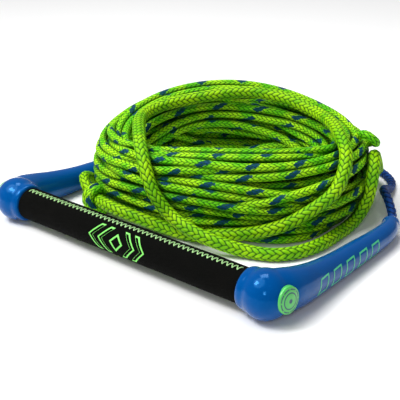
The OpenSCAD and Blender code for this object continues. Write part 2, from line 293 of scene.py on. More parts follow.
def lay_line(neck, seed=3, rounds=170):
    """The coil's turns, thrown at random in its section, then settled against each other."""
    rng = np.random.default_rng(seed)
    # Each turn has a bed in the section: most on its skin, some halfway in, two at its heart.
    beds = np.concatenate([
        np.stack([np.linspace(0, 2 * np.pi, skin_beds, endpoint=False) + 0.15, np.ones(skin_beds)], 1),
        np.stack([np.linspace(0, 2 * np.pi, deep_beds, endpoint=False) + 0.4,
                  np.full(deep_beds, 0.56)], 1),
        [[0.5, 0.12], [3.6, 0.2]],
    ])
    waiting = list(range(len(beds)))
    order = [waiting.pop(int(skin_beds * 0.6))]
    while waiting:
        turn = beds[waiting, 0] - beds[order[-1], 0]
        gap = np.hypot((turn + np.pi) % (2 * np.pi) - np.pi, beds[waiting, 1] - beds[order[-1], 1])
        order.append(waiting.pop(int(np.argmin(gap + rng.uniform(0, 3.4, len(waiting))))))
    order = np.array(order)
    count = int(line_turns * points_per_turn)
    wound = np.arange(count) / points_per_turn
    layer = np.floor(wound).astype(int)
    after = np.minimum(layer + 1, len(beds) - 1)
    begin = rng.uniform(0.0, 0.6, len(beds))
    step = np.clip((wound - layer - begin[layer]) / 0.4, 0, 1)
    step = step * step * (3 - 2 * step)
    swing_to = beds[order[after], 0] - beds[order[layer], 0]
    swing_to = (swing_to + np.pi) % (2 * np.pi) - np.pi
    bed_turn = beds[order[layer], 0] + swing_to * step
    bed_reach = beds[order[layer], 1] * (1 - step) + beds[order[after], 1] * step
    run = wound * 0.6
    for wave, swing in ((0.93, 0.42), (0.47, 0.28), (0.27, 0.09)):
        drift = 2.2 * np.sin(run * 1.2 + rng.uniform(0, 6))
        bed_turn = bed_turn + swing * np.sin(6.283 * run / wave + rng.uniform(0, 6.28) + drift)
    share = np.stack([np.cos(bed_turn), np.sin(bed_turn)], 1) * bed_reach[:, None]
    points = in_coil(2 * np.pi * wound + math.radians(183), share[:, 0], share[:, 1])
    thrown = points.copy()
    lead = 14
    for k in range(lead):
        share_in = (1 - k / lead) ** 2
        thrown[k] += (line_start - points[0]) * share_in
        thrown[-1 - k] += (line_end - points[-1]) * share_in
    points = thrown.copy()
    gap = line_diameter * 1.02
    for turn in range(rounds):
        thin = points.astype(np.float32)
        size = (thin ** 2).sum(1)
        near_a, near_b = np.nonzero(size[:, None] + size[None] - 2 * thin @ thin.T < gap ** 2)
        apart = near_b - near_a > 5
        near_a, near_b = near_a[apart], near_b[apart]
        away = points[near_a] - points[near_b]
        far = np.linalg.norm(away, axis=1) + 1e-6
        move = away / far[:, None] * (np.maximum(gap - far, 0) * 0.4)[:, None]
        push = np.zeros_like(points)
        np.add.at(push, near_a, move)
        np.add.at(push, near_b, -move)
        crowd = np.bincount(np.r_[near_a, near_b], minlength=count)
        points += push / np.maximum(1, crowd * 0.6)[:, None]
        moved = points - thrown
        straighten = (moved[:-2] + moved[2:]) / 2 - moved[1:-1]
        points[1:-1] += straighten * (0.45 if turn < rounds - 25 else 0.2)
        points = keep_off_neck(keep_in_coil(points), neck)
        points[:, 2] = np.maximum(points[:, 2], line_diameter / 2)
        points[0], points[-1] = line_start, line_end
    return points


def between(t, width, start, end, slope_start, slope_end):
    """The smooth cubic from start to end, at the shares t of its width."""
    return ((2 * t ** 3 - 3 * t ** 2 + 1) * start
            + (t ** 3 - 2 * t ** 2 + t) * width * slope_start
            + (3 * t ** 2 - 2 * t ** 3) * end
            + (t ** 3 - t ** 2) * width * slope_end)


def smooth_route(points, step):
    """A smooth curve through the points, cut into even steps."""
    points = np.asarray(points, float)
    knots = np.r_[0, np.cumsum(np.sqrt(np.linalg.norm(np.diff(points, axis=0), axis=1)))]
    slope = np.gradient(points, knots, axis=0)
    fine = []
    for k in range(len(points) - 1):
        width = knots[k + 1] - knots[k]
        t = np.linspace(0, 1, 24, endpoint=False)[:, None]
        fine.append(between(t, width, points[k], points[k + 1], slope[k], slope[k + 1]))
    fine = np.concatenate(fine + [points[-1:]])
    run = np.r_[0, np.cumsum(np.linalg.norm(np.diff(fine, axis=0), axis=1))]
    marks = np.linspace(0, run[-1], int(run[-1] / step) + 1)
    return np.stack([np.interp(marks, run, fine[:, axis]) for axis in range(3)], 1)


def braid_height(around, along, yarns, lay):
    """How far the braid stands out, 0 to 1. Yarns run both ways, over two and under two."""
    one, other = yarns * (around + along / lay), yarns * (around - along / lay)
    i, j = np.floor(one), np.floor(other)
    over, under = np.mod(i + other, 4), np.mod(one + j, 4)
    across = np.where(over < 2, one - i, other - j) - 0.5
    part = np.where(over < 2, over, under - 2) / 2
    return np.sqrt(np.maximum(0, 1 - 4 * across ** 2)) * (0.35 + 0.65 * np.sin(np.pi * part))


def ring_walls(count, sides):
    """The walls between rings of points, with each wall's ring and side."""
    k, s = np.meshgrid(np.arange(count - 1), np.arange(sides), indexing="ij")
    k, s = k.ravel(), s.ravel()
    turn = (s + 1) % sides
    walls = [k * sides + s, k * sides + turn, (k + 1) * sides + turn, (k + 1) * sides + s]
    return k, s, np.stack(walls, 1).tolist()


def add_rope(name, route, radius, sides, material, yarns=8, lay=0.042, relief=0.0):
    """A tube along a route, with its braid raised on it, and the way along it kept as UV."""
    route = np.asarray(route)
    way = np.gradient(route, axis=0)
    way /= np.linalg.norm(way, axis=1)[:, None]
    side = np.empty_like(route)
    side[0] = np.cross(way[0], (0.13, 0.21, 0.97))
    side[0] /= np.linalg.norm(side[0])
    for k in range(1, len(route)):
        carried = side[k - 1] - way[k] * side[k - 1].dot(way[k])
        side[k] = carried / math.sqrt(carried.dot(carried))
    up = np.cross(way, side)
    run = np.r_[0, np.cumsum(np.linalg.norm(np.diff(route, axis=0), axis=1))]
    around = np.arange(sides) / sides
    angle = 2 * np.pi * around
    thick = np.broadcast_to(radius, len(route))[:, None] + np.zeros(sides)
    if relief:
        thick = thick + relief * (braid_height(around[None], run[:, None], yarns, lay) - 0.6)
    rings = (route[:, None] + (np.cos(angle)[None, :, None] * side[:, None]
             + np.sin(angle)[None, :, None] * up[:, None]) * thick[..., None])
    rings[..., 2] = np.maximum(rings[..., 2], 0)
    count = len(route)
    points = np.concatenate([rings.reshape(-1, 3), route[:1], route[-1:]])
    k, s, walls = ring_walls(count, sides)
    loop = np.arange(sides)
    first, last = count * sides, count * sides + 1
    foot = np.stack([np.full(sides, first), (loop + 1) % sides, loop], 1)
    head = np.stack([np.full(sides, last), (count - 1) * sides + loop,
                     (count - 1) * sides + (loop + 1) % sides], 1)
    piece = add_piece(name, points, walls + foot.tolist() + head.tolist(), material)
    u = np.stack([s, s + 1, s + 1, s], 1) / sides
    v = np.stack([run[k], run[k], run[k + 1], run[k + 1]], 1)
    caps = np.tile([0.5, 0.0], (sides * 6, 1))
    chart = np.concatenate([np.stack([u.ravel(), v.ravel()], 1), caps])
    layer = piece.data.uv_layers.new(name="along")
    layer.data.foreach_set("uv", chart.ravel())
    return piece


def braid_finish(name, yarns, lay, contact_shade, groove, plain, bright, depth, tracer=None, **sockets):
    """Braided cord: yarns over two and under two, with shade painted into its grooves and where other
    ropes press against it.
    """
    finish = Finish(name, **sockets)
    chart = finish.nodes.new("ShaderNodeUVMap")
    chart.uv_map = "along"
    parts = finish.nodes.new("ShaderNodeSeparateXYZ")
    finish.plug(chart.outputs[0], parts.inputs[0])
    around, turns = parts.outputs[0], finish.math("DIVIDE", parts.outputs[1], lay)
    one = finish.math("MULTIPLY", finish.math("ADD", around, turns), yarns)
    other = finish.math("MULTIPLY", finish.math("SUBTRACT", around, turns), yarns)
    i, j = finish.math("FLOOR", one), finish.math("FLOOR", other)
    over = finish.math("FLOORED_MODULO", finish.math("ADD", i, other), 4.0)
    under = finish.math("FLOORED_MODULO", finish.math("ADD", one, j), 4.0)
    on_top = finish.math("LESS_THAN", over, 2.0)

    def either(first, second):
        return finish.math("ADD", finish.math("MULTIPLY", first, on_top),
                           finish.math("MULTIPLY", second, finish.math("SUBTRACT", 1.0, on_top)))

    across = either(finish.math("SUBTRACT", one, i), finish.math("SUBTRACT", other, j))
    part = either(over, finish.math("SUBTRACT", under, 2.0))
    hill = finish.math("SINE", finish.math("MULTIPLY", across, math.pi))
    rise = finish.math("SINE", finish.math("MULTIPLY", part, math.pi / 2))
    height = finish.math("MULTIPLY", finish.math("POWER", hill, 0.6),
                         finish.math("MULTIPLY_ADD", rise, 0.65, 0.35))
    fibre = finish.math("PINGPONG", finish.math("MULTIPLY", across, 5.0), 0.5)
    patch = finish.noise(60, 3)
    colour = finish.mix(finish.steps(patch, 0.35, 0.65), plain, bright)
    if tracer:
        ragged = finish.math("MULTIPLY_ADD", rise, 0.4, one)
        strand = finish.math("LESS_THAN", finish.math("FLOORED_MODULO", ragged, float(yarns)), 1.9)
        shows = finish.math("LESS_THAN", finish.math("FLOORED_MODULO", finish.math(
            "MULTIPLY_ADD", rise, 0.5, other), yarns * 1.06), yarns * 0.6)
        colour = finish.mix(finish.math("MULTIPLY", strand, shows), colour, tracer)
    # Painted shade: the colour falls to the groove colour where the braid sinks between its yarns, and
    # is lifted part way along each yarn's fibre lines.
    light = finish.math("MULTIPLY_ADD", fibre, 0.3, finish.steps(height, 0.15, 0.75))
    colour = finish.mix(finish.math("MINIMUM", light, 1.0), groove, colour)
    # Painted shade: the colour darkens towards the contact shade colour where the crowd value says
    # another rope, turn or the floor lies close.
    crowd = finish.nodes.new("ShaderNodeAttribute")
    crowd.attribute_name = "crowd"
    colour = finish.mix(finish.math("MULTIPLY", crowd.outputs["Fac"], 0.85), colour, contact_shade)
    fuzz = finish.noise(2500, 2)
    relief = finish.math("ADD", height, finish.math("ADD", finish.math("MULTIPLY", fibre, 0.25),
                                                    finish.math("MULTIPLY", fuzz, 0.22)))
    return finish.done(colour, height=relief, depth=depth)


# The first two colours are painted shade: the darkest where other ropes or the floor press close, the
# next in the braid's grooves.
line_finish = braid_finish(
    "line_braid", 8, 0.042, shade(0, 70, 0), shade(0, 78, 0), shade(96, 200, 6), shade(176, 238, 20),
    0.0006, tracer=shade(0, 62, 100), Roughness=0.6, Specular_IOR_Level=0.15)
line_route = smooth_route(lay_line(smooth_route(neck_points, 0.004)), 0.00262)
tow_line = add_rope("tow_line", line_route, line_diameter / 2, 12, line_finish)


def paint_contact_shade(piece, ropes):
    """Keeps, for each point of a rope's skin, how closely another rope, turn or the floor lies against
    it, as painted shade that darkens the braid's colour.
    """
    trees = []
    for centres, radius in ropes:
        tree = KDTree(len(centres))
        for index, centre in enumerate(centres):
            tree.insert(centre, index)
        tree.balance()
        trees.append((tree, radius))
    crowd = piece.data.attributes.new("crowd", "FLOAT", "POINT")
    feel = 0.004
    values = []
    for corner in piece.data.vertices:
        ahead = corner.co + corner.normal * feel
        # Painted shade near the floor: the lowest points of a rope get a share of up to 0.6.
        share = min(1.0, 1 - corner.co.z / 0.006) * 0.6
        for tree, radius in trees:
            gap = tree.find(ahead)[2]
            share = max(share, min(1.0, (radius + feel - 0.0002 - gap) / 0.0044))
        share = max(share, 0.0)
        values.append(share * share * (3 - 2 * share))
    crowd.data.foreach_set("value", values)


neck_route = smooth_route(neck_points, 0.001)
# Painted shade where the line's own turns and the neck lie against it.
paint_contact_shade(tow_line, ((line_route, line_diameter / 2), (neck_route, neck_diameter / 2)))

# ---------------------------------------------------------------------------
# The tow loop. The line's far end is turned back and tucked into itself; the
# boat's tow hook goes through it.
# ---------------------------------------------------------------------------
loop_points = np.array([
    [88, 138, 72], [96, 133, 79], [104, 129, 81], [110, 131, 77], [109, 138, 72],
    [101, 145, 69], [90, 146, 64]]) / 1000
tow_loop = add_rope("tow_loop_bight", smooth_route(loop_points, 0.001), line_diameter / 2, 20,
                    line_finish, relief=0.0005)
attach(tow_loop, "rope")
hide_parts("tow_loop")
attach(tow_line, "rope")
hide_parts("line_coil")

# ---------------------------------------------------------------------------
# The neck. The doubled, thicker part of the line next to the handle: a hollow
# lime braid with a bold V pattern, wrapped once and a half about the coil.
# ---------------------------------------------------------------------------
neck_yarns, neck_lay = 8, 0.050
# The first two colours are painted shade: the darkest where other ropes or the floor press close, the
# next in the braid's grooves.
neck_finish = braid_finish(
    "neck_braid", neck_yarns, neck_lay, shade(0, 52, 0), shade(0, 66, 0), shade(110, 186, 0),
    shade(158, 214, 0), 0.0004, Roughness=0.6, Specular_IOR_Level=0.15)
neck = add_rope("neck_braid", neck_route, neck_diameter / 2, 30, neck_finish, neck_yarns, neck_lay,
                0.0007)
# Painted shade where the line's turns lie against the neck.
paint_contact_shade(neck, ((line_route, line_diameter / 2),))
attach(neck, "rope")
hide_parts("neck_rope")

# ---------------------------------------------------------------------------
# The neck's eye and the line's hitch. The neck ends in a spliced eye, and the
# line is made fast to it with a few turns, so that it can be taken off.
# ---------------------------------------------------------------------------
eye_points = np.array([
    [-108, -26, 12.5], [-119, -26, 21], [-130, -18, 25], [-136, -6, 21], [-135, 4, 12],
    [-127, 4, 6], [-118, -8, 6], [-109, -22, 8]]) / 1000
# The wraps go round the neck's end at an even pitch, in steps of 0.1 mm.
wrap_start, wrap_end = np.array([-90, -34.4, 15.2]), np.array([-106.6, -26.7, 13])
wrap_side, wrap_up, wrap_reach = np.array([0.416, 0.909, 0]), np.array([0, 0, 1]), 10.5
wrap_count, wrap_steps, lowest = 2, 8, 4.2
hitch_points = [[-98, 6, 14], [-92, -8, 12]]
for k in range(wrap_count * wrap_steps + 1):
    turn = math.radians(-25) - 2 * math.pi * k / wrap_steps
    middle = wrap_start + (wrap_end - wrap_start) * k / (wrap_count * wrap_steps)
    x, y, z = middle + wrap_reach * (math.cos(turn) * wrap_side + math.sin(turn) * wrap_up)
    hitch_points.append([round(x, 1), round(y, 1), round(max(z, lowest), 1)])
hitch_points = np.array(hitch_points + [[-104, -11, 6]]) / 1000
eye_route = smooth_route(eye_points, 0.001)
eye_thick = np.interp(np.linspace(0, 1, len(eye_route)), [0, 0.2, 1], [0.0058, 0.0046, 0.0044])
neck_eye = add_rope("neck_eye_braid", eye_route, eye_thick, 24, neck_finish,
                    neck_yarns, neck_lay, 0.0008)
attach(neck_eye, "rope")
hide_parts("neck_eye")
line_hitch = add_rope("line_hitch_turns", smooth_route(hitch_points, 0.001), line_diameter / 2, 20,
                      line_finish, relief=0.0005)
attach(line_hitch, "rope")
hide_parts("line_hitch")

# ---------------------------------------------------------------------------
# The bridle. One dark blue braid runs through the arms and the bar; its two
# ends come out of the arms' tips and meet in a sleeve of the neck's own braid.
# ---------------------------------------------------------------------------
bridle_diameter, bridle_yarns, bridle_lay = 0.008, 4, 0.032
leg_points = {
    "left": [
        [-150.2, 101.5, 12], [-146, 111.2, 12], [-139, 122, 9], [-127, 136, 4.2],
        [-108, 151, 4.2], [-84, 167, 4.2], [-56, 183, 4.2], [-30, 196, 4.2], [-8, 206, 5],
        [12, 211, 6.5], [30, 212, 8]],
    "right": [
        [150.2, 101.5, 12], [146, 111.2, 12], [139, 123, 14], [127, 137, 19], [114, 152, 20],
        [107, 170, 14], [101, 192, 6], [90, 214, 4.2], [68, 232, 4.2], [38, 239.5, 4.2],
        [4, 239.5, 4.2], [-12, 235, 5], [-20, 226, 8], [-14, 217, 12], [4, 213, 14],
        [30, 212, 14]],
}
# The first two colours are painted shade: the darkest where other ropes or the floor press close, the
# next in the braid's grooves.
bridle_finish = braid_finish(
    "bridle_braid", bridle_yarns, bridle_lay, shade(0, 8, 30), shade(0, 14, 44), shade(2, 46, 112),
    shade(6, 64, 140), 0.0004, Roughness=0.55, Specular_IOR_Level=0.15)
for side, points in leg_points.items():
    leg_route = smooth_route(np.array(points) / 1000, 0.001)
    leg = add_rope(f"bridle_leg_{side}_braid", leg_route, bridle_diameter / 2, 20, bridle_finish,
                   bridle_yarns, bridle_lay, 0.0009)
    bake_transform(leg)
    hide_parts(f"bridle_leg_{side}")

# ---------------------------------------------------------------------------
# The splice. Both legs of the bridle are tucked into the hollow end of the
# neck, whose braid swells over them and narrows again.
# ---------------------------------------------------------------------------
splice_points = np.array([[28, 212, 11], [40, 212, 11], [54, 212, 10], [68, 211, 9.5]]) / 1000
splice_route = smooth_route(splice_points, 0.001)
splice_thick = np.interp(np.linspace(0, 1, len(splice_route)), [0, 0.12, 0.3, 0.7, 1],
                         [0.0070, 0.0082, 0.0087, 0.0073, 0.0060])
splice = add_rope("bridle_splice_sleeve", splice_route, splice_thick, 30, neck_finish,
                  neck_yarns, neck_lay, 0.0009)
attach(splice, "rope")
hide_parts("bridle_splice")

# ---------------------------------------------------------------------------
# The arms. Two glossy blue mouldings, each a round elbow that takes the bar's
# end and a tapering arm whose hollow leads the bridle out at its tip.
# ---------------------------------------------------------------------------
bar_y, bar_z, tip_y, tip_z = -0.089, 0.0205, 0.101, 0.012
elbow_x, elbow_radius, grip_end, tip_x = 0.146, 0.0205, 0.128, 0.150
elbow_sides, tip_sides, bar_hole = 64, 40, 0.01255
# Distance behind the bar, x, z, half width and half height, in millimetres.
arm_sections = np.array([
    [0, 146, 20.5, 19, 19.5], [12, 151, 20, 17.5, 19], [28, 154.5, 18, 15, 17.5],
    [50, 155.5, 15.5, 13, 15.2], [80, 155.5, 13.2, 11.8, 13], [120, 155.5, 12, 10.8, 11.5],
    [150, 155.5, 11.4, 9.8, 10.4], [170, 155, 11.5, 9.2, 9.6], [182, 153, 11.8, 8.8, 8.9],
    [190, 150, 12, 8.4, 8.45]]) / 1000


def lathe(profile, sides, spot, way):
    """A closed solid turned about a line: profile is distances along it and radii."""
    way = np.array(way, float) / np.linalg.norm(way)
    first = np.cross(way, (0.0, 0.0, 1.0))
    first /= np.linalg.norm(first)
    second = np.cross(way, first)
    angle = 2 * np.pi * np.arange(sides) / sides
    rim = np.cos(angle)[:, None] * first + np.sin(angle)[:, None] * second
    rings = [np.array(spot) + way * along + rim * radius for along, radius in profile]
    return loft(rings)


def loft(rings):
    """Points and faces of a closed solid through rings of points."""
    rings = np.asarray(rings)
    count, sides = rings.shape[:2]
    points = np.concatenate([rings.reshape(-1, 3), rings[0].mean(0)[None], rings[-1].mean(0)[None]])
    faces = ring_walls(count, sides)[2]
    for s in range(sides):
        turn = (s + 1) % sides
        faces.append([count * sides, turn, s])
        faces.append([count * sides + 1, (count - 1) * sides + s, (count - 1) * sides + turn])
    return points, faces


def ring_loop(rings, sides):
    """The faces of a hollow body whose last ring joins its first."""
    return [[r * sides + s, r * sides + (s + 1) % sides,
             (r + 1) % rings * sides + (s + 1) % sides, (r + 1) % rings * sides + s]
            for r in range(rings) for s in range(sides)]


def joined(parts):
    points, faces, start = [], [], 0
    for some, loops in parts:
        points.append(np.asarray(some))
        faces += [[start + corner for corner in loop] for loop in loops]
        start += len(some)
    return np.concatenate(points), faces


def outward(piece):
    work = bmesh.new()
    work.from_mesh(piece.data)
    bmesh.ops.remove_doubles(work, verts=work.verts, dist=1e-7)
    bmesh.ops.recalc_face_normals(work, faces=work.faces)
    work.to_mesh(piece.data)
    work.free()


def settled(piece):
    """The piece with its modifiers worked into a plain mesh."""
    shaped = piece.evaluated_get(bpy.context.evaluated_depsgraph_get())
    mesh = bpy.data.meshes.new_from_object(shaped)
    piece.modifiers.clear()
    piece.data = mesh
    return mesh


def coat(mesh, material):
    mesh.materials.clear()
    mesh.materials.append(material)


def ball_profile(radius, steps=24):
    turn = np.linspace(0.02, math.pi - 0.02, steps)
    return np.stack([-radius * np.cos(turn), radius * np.sin(turn)], 1)


arm_parts = Finish("moulded_arm", Roughness=0.14, Specular_IOR_Level=0.4,
                   Specular_Tint=(0.05, 0.45, 1.0, 1.0), Coat_Weight=0.02, Coat_Roughness=0.05)
cloudy = arm_parts.noise(35, 3)
scuffs = arm_parts.steps(arm_parts.noise(420, 3, stretch=(1, 0.12, 1)), 0.62, 0.72)
skin = arm_parts.mix(cloudy, shade(0, 66, 132), shade(0, 80, 150))
skin = arm_parts.mix(arm_parts.math("MULTIPLY", scuffs, 0.12), skin, shade(30, 110, 180))
arm_finish = arm_parts.done(
    skin,
    roughness=arm_parts.math("MULTIPLY_ADD", cloudy, 0.06, 0.10),
    height=arm_parts.noise(260, 2), depth=0.00006)


def add_arm(side, name):
    """Elbow, cuff, arm and tip run into one smooth skin, then bored for the bar and the rope."""
    knots = arm_sections[:, 0]
    fine = np.linspace(0, knots[-1], 90)
    slope = np.gradient(arm_sections, knots, axis=0)
    k = np.clip(np.searchsorted(knots, fine, side="right") - 1, 0, len(knots) - 2)
    width = (knots[k + 1] - knots[k])[:, None]
    t = ((fine - knots[k]) / width[:, 0])[:, None]
    rows = between(t, width, arm_sections[k], arm_sections[k + 1], slope[k], slope[k + 1])
    angle = 2 * np.pi * np.arange(48) / 48
    rings = [np.stack([row[1] + row[3] * np.cos(angle), np.full(48, bar_y + row[0]),
                       row[2] + row[4] * np.sin(angle)], 1) for row in rows]
    along_bar, elbow = (1, 0, 0), (elbow_x, bar_y, bar_z)
    cuff, tip = (grip_end, bar_y, bar_z), (tip_x, tip_y, tip_z)
    points, faces = joined([
        loft(rings),
        lathe(ball_profile(elbow_radius + 0.0001), elbow_sides, elbow, along_bar),
        lathe([(0, 0.0166), (0.0012, 0.0174), (0.004, 0.0180), (0.018, 0.0180)],
              elbow_sides, cuff, along_bar),
        lathe(ball_profile(0.0086), tip_sides, tip, along_bar)])
    arm = add_piece(name, points, faces, arm_finish)
    outward(arm)
    rope_way = np.array([-0.0042, 0.009, 0])
    points, faces = joined([
        lathe([(-0.012, bar_hole), (0.0115, bar_hole)], elbow_sides, cuff, along_bar),
        lathe([(0.0, 0.0043), (0.0055, 0.0045), (0.0075, 0.0049), (0.0095, 0.0064), (0.0125, 0.0090)],
              tip_sides, tip, rope_way)])
    cutter = add_piece("arm_cutter", points, faces, arm_finish)
    outward(cutter)
    even = arm.modifiers.new("even", "REMESH")
    even.mode, even.voxel_size = "VOXEL", 0.0012
    soft = arm.modifiers.new("soft", "SMOOTH")
    soft.factor, soft.iterations = 0.5, 6
    bore = arm.modifiers.new("bore", "BOOLEAN")
    bore.operation, bore.solver, bore.object = "DIFFERENCE", "EXACT", cutter
    mesh = settled(arm)
    bpy.data.objects.remove(cutter)
    coat(mesh, arm_finish)
    if side < 0:
        mesh.transform(((-1, 0, 0, 0), (0, 1, 0, 0), (0, 0, 1, 0), (0, 0, 0, 1)))
        mesh.flip_normals()
    mesh.polygons.foreach_set("use_smooth", [True] * len(mesh.polygons))
    mesh.set_sharp_from_angle(angle=math.radians(50))
    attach(arm, "handle")
    return arm


arms = {}
for side, hand in ((-1, "left"), (1, "right")):
    arms[hand] = add_arm(side, f"arm_{hand}_moulding")
    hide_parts(f"arm_{hand}")

# ---------------------------------------------------------------------------
# The badges. A light green disc stands just proud of each elbow's outside,
# with a dark dot and two dark rings on it, the outer one broken into dashes.
# ---------------------------------------------------------------------------
badge_parts = Finish("badge_print", Roughness=0.35, Coat_Weight=0.25, Coat_Roughness=0.15)
chart = badge_parts.nodes.new("ShaderNodeUVMap")
chart.uv_map = "disc"
parts = badge_parts.nodes.new("ShaderNodeSeparateXYZ")
badge_parts.plug(chart.outputs[0], parts.inputs[0])


def ring_line(finish, reach, radius, half):
    gap = finish.math("ABSOLUTE", finish.math("SUBTRACT", reach, radius))
    return finish.math("SUBTRACT", 1.0, finish.steps(gap, half * 0.75, half * 1.25))


reach = parts.outputs[1]
dashes = badge_parts.math(
    "GREATER_THAN", badge_parts.math("FRACT", badge_parts.math(
        "MULTIPLY", parts.outputs[0], 8.0)), 0.16)
lines = badge_parts.math(
    "MAXIMUM",
    badge_parts.math("MULTIPLY", ring_line(badge_parts, reach, 0.0092, 0.00045), dashes),
    badge_parts.math("MAXIMUM", ring_line(badge_parts, reach, 0.0064, 0.0005),
                            ring_line(badge_parts, reach, 0.0, 0.0018)))
green = badge_parts.mix(badge_parts.noise(300, 2), shade(62, 184, 78), shade(86, 200, 96))
badge_finish = badge_parts.done(badge_parts.mix(lines, green, shade(0, 70, 96)))


def surface_of(arm):
    corners = np.empty(len(arm.data.vertices) * 3)
    arm.data.vertices.foreach_get("co", corners)
    return BVHTree.FromPolygons(corners.reshape(-1, 3).tolist(),
                                [tuple(face.vertices) for face in arm.data.polygons])


def on_surface(tree, points, way, proud):
    """Points dropped along a direction onto the arm, then lifted off it."""
    way = Vector(way).normalized()
    landed = []
    for point, lift in zip(points, proud):
        hit = tree.ray_cast(Vector(point) - way * 0.02, way)[0]
        landed.append((hit if hit else Vector(point)) - way * float(lift))
    return np.array(landed)


skins = {hand: surface_of(arm) for hand, arm in arms.items()}
for side, hand in ((-1, "left"), (1, "right")):
    turned = math.radians(8)
    out = np.array([side * math.cos(turned), -math.sin(turned), 0])
    flat = np.cross(out, (0, 0, 1))
    spot = np.array([side * (elbow_x + elbow_radius), bar_y + 0.001, 0.022])
    reaches = np.array([0.0004, 0.0013, 0.0017, 0.0030, 0.0046, 0.0060, 0.0064, 0.0068, 0.0080,
                        0.0089, 0.0092, 0.0095, 0.0104, 0.0109, 0.0111])
    lifts = np.array([8, 8, 24, 24, 24, 24, 8, 24, 24, 24, 8, 24, 24, 16, -300]) * 1e-5
    sides = 72
    angle = 2 * np.pi * np.arange(sides) / sides
    rings = []
    for distance in reaches:
        swept = np.cos(angle)[:, None] * flat + np.sin(angle)[:, None] * np.array([0, 0, 1])
        rings.append(on_surface(skins[hand], spot + distance * swept, -out, np.zeros(sides)))
    landed = np.array(rings)
    depth = (landed - spot) @ out
    u, v = (landed - spot) @ flat, landed[..., 2] - spot[2]
    terms = np.stack([np.ones_like(u), u, v, u * u + v * v], -1).reshape(-1, 4)
    even = (terms @ np.linalg.lstsq(terms, depth.ravel(), rcond=None)[0]).reshape(depth.shape)
    even += (depth - even)[:-1].max()
    rings = list(landed + (even - depth + lifts[:, None])[..., None] * out)
    rings.append(rings[-1].mean(0) + (rings[-1] - rings[-1].mean(0)) * 0.3 - out * 0.001)
    points, faces = loft(rings)
    badge = add_piece(f"arm_badge_{hand}_disc", points, faces, badge_finish)
    layer = badge.data.uv_layers.new(name="disc")
    spots = np.array([badge.data.vertices[loop.vertex_index].co for loop in badge.data.loops]) - spot
    layer.data.foreach_set("uv", np.stack([
        np.arctan2(spots[:, 2], spots @ flat) / (2 * np.pi) + 0.5,
        np.hypot(spots[:, 2], spots @ flat)], 1).ravel())
    outward(badge)
    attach(badge, "handle")
    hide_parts(f"arm_badge_{hand}")

# ---------------------------------------------------------------------------
# The marks. Five slanting outlined marks are printed in a thin green film
# along the outside of each arm.
# ---------------------------------------------------------------------------
mark_parts = Finish("mark_print", Roughness=0.4, Coat_Weight=0.2, Coat_Roughness=0.2)
mark_wear = mark_parts.steps(mark_parts.noise(900, 3), 0.60, 0.75)
mark_finish = mark_parts.done(mark_parts.mix(
    mark_parts.math("MULTIPLY", mark_wear, 0.5), shade(62, 196, 132), shade(10, 96, 150)))
mark_count, mark_pitch, mark_drop, marks_start = 5, 0.0215, 0.001, 0.039
marks_out, marks_height = 0.167, 0.016
mark_outer = np.array([[0, -6.5], [13.5, -6.5], [18, 6.5], [4.5, 6.5]]) / 1000
mark_inner = np.array([[1.8, -5.3], [12.6, -5.3], [16.2, 5.3], [5.4, 5.3]]) / 1000


def along_loop(corners, steps=8):
    after = np.roll(corners, -1, axis=0)
    share = np.linspace(0, 1, steps, endpoint=False)[:, None]
    return np.concatenate([a + (b - a) * share for a, b in zip(corners, after)])


for side, hand in ((-1, "left"), (1, "right")):
    pieces = []
    for k in range(mark_count):
        rails = []
        for corners, lift in ((mark_outer, -0.0004), (mark_outer, 0.00014),
                              (mark_inner, 0.00014), (mark_inner, -0.0004)):
            flat = along_loop(corners) + [k * mark_pitch, -k * mark_drop]
            spots = np.stack([np.full(len(flat), side * marks_out), bar_y + marks_start + flat[:, 0],
                              marks_height + flat[:, 1]], 1)
            rails.append(on_surface(skins[hand], spots, (-side, 0, 0), np.full(len(flat), lift)))
        pieces.append((np.concatenate(rails), ring_loop(len(rails), len(rails[0]))))
    points, faces = joined(pieces)
    marks = add_piece(f"arm_marks_{hand}_film", points, faces, mark_finish, smooth=False)
    outward(marks)
    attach(marks, "handle")
    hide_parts(f"arm_marks_{hand}")

# ---------------------------------------------------------------------------
# The grip's cover. A sheet of knit-faced neoprene is wrapped round the foam
# sleeve, and its edges meet along the top, where the stitches pull it in.
# ---------------------------------------------------------------------------
cover_radius, cover_inner = 0.015, 0.014
seam_turn = math.radians(6)
stitch_pitch, stitch_count = 0.0025, 99
cover_parts = Finish("knit_neoprene", Roughness=0.9, Specular_IOR_Level=0.08)
chart = cover_parts.nodes.new("ShaderNodeUVMap")
chart.uv_map = "wrap"
wrap = cover_parts.nodes.new("ShaderNodeSeparateXYZ")
cover_parts.plug(chart.outputs[0], wrap.inputs[0])
columns = cover_parts.math("PINGPONG", cover_parts.math("MULTIPLY", wrap.outputs[0], 1400.0), 0.5)
courses = cover_parts.math("PINGPONG", cover_parts.math("ADD", cover_parts.math(
    "MULTIPLY", wrap.outputs[1], 1050.0), columns), 0.5)
knit = cover_parts.math("ADD", columns, courses)
lint = cover_parts.noise(900, 3)
worn = cover_parts.steps(cover_parts.noise(40, 3), 0.45, 0.75)
black = cover_parts.mix(knit, shade(0, 1, 0), shade(6, 6, 4))
black = cover_parts.mix(cover_parts.math("MULTIPLY", worn, 0.3), black, shade(13, 12, 9))
cover_finish = cover_parts.done(
    black, height=cover_parts.math("ADD", knit, cover_parts.math("MULTIPLY", lint, 0.6)), depth=0.00022)

